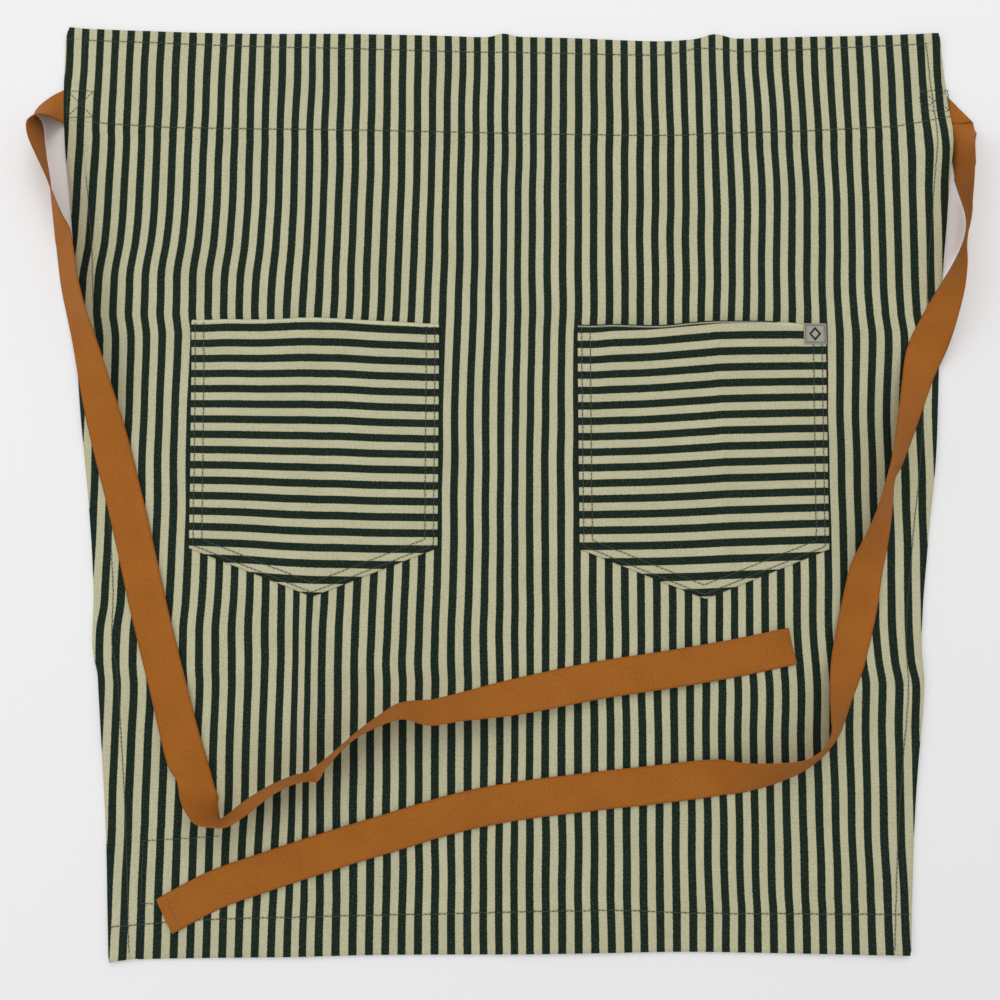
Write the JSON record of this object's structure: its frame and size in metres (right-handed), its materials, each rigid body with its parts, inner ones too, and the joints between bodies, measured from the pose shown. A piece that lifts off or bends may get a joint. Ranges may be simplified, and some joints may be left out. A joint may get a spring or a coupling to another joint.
{
  "type": "waist apron",
  "caption": "Striped canvas waist apron lying flat, with two pointed patch pockets and long twill tape ties that swing up from the waist.",
  "frame": {"origin": "under the middle of the skirt, on the surface that the apron lies on", "axes": "+X to the right as the front is seen, +Y up to the waist, +Z out of the front face"},
  "size_m": [0.7832, 0.758, 0.0328],
  "materials": {
    "canvas": "cream and dark green woven stripe canvas, matt",
    "pocket_canvas": "the same stripe canvas turned across, matt",
    "twill_tape": "caramel cotton twill tape, matt",
    "woven_label": "grey woven label, blank, satin",
    "thread": "grey-green sewing thread"
  },
  "bodies": {
    "apron": {"skirt_panel": "canvas", "waist_facing": "canvas", "left_side_hem": "canvas", "right_side_hem": "canvas", "bottom_hem": "canvas", "reverse_patch": "canvas", "left_pocket": "pocket_canvas", "right_pocket": "pocket_canvas", "left_pocket_mouth_hem": "pocket_canvas", "right_pocket_mouth_hem": "pocket_canvas", "left_tie_root": "twill_tape", "right_tie_root": "twill_tape", "woven_label": "woven_label", "waist_top_stitch": "thread", "waist_lower_stitch": "thread", "left_hem_stitch": "thread", "right_hem_stitch": "thread", "bottom_hem_stitch": "thread", "left_pocket_outer_stitch": "thread", "left_pocket_inner_stitch": "thread", "right_pocket_outer_stitch": "thread", "right_pocket_inner_stitch": "thread", "left_tie_box_stitch": "thread", "right_tie_box_stitch": "thread", "label_stitch": "thread", "reverse_patch_stitch": "thread"},
    "left_tie": {"left_tie": "twill_tape", "left_tie_end_stitch": "thread"},
    "right_tie": {"right_tie": "twill_tape", "right_tie_end_stitch": "thread"}
  },
  "joints": [
    {"name": "left_tie_swing", "type": "hinge", "parent": "apron", "child": "left_tie", "pos_m": [-0.387, 0.2905, 0.031], "axis": [-1, 0, 0], "range_deg": [0, 120]},
    {"name": "right_tie_swing", "type": "hinge", "parent": "apron", "child": "right_tie", "pos_m": [0.377, 0.2475, 0.031], "axis": [-1, 0, 0], "range_deg": [0, 120]}
  ]
}
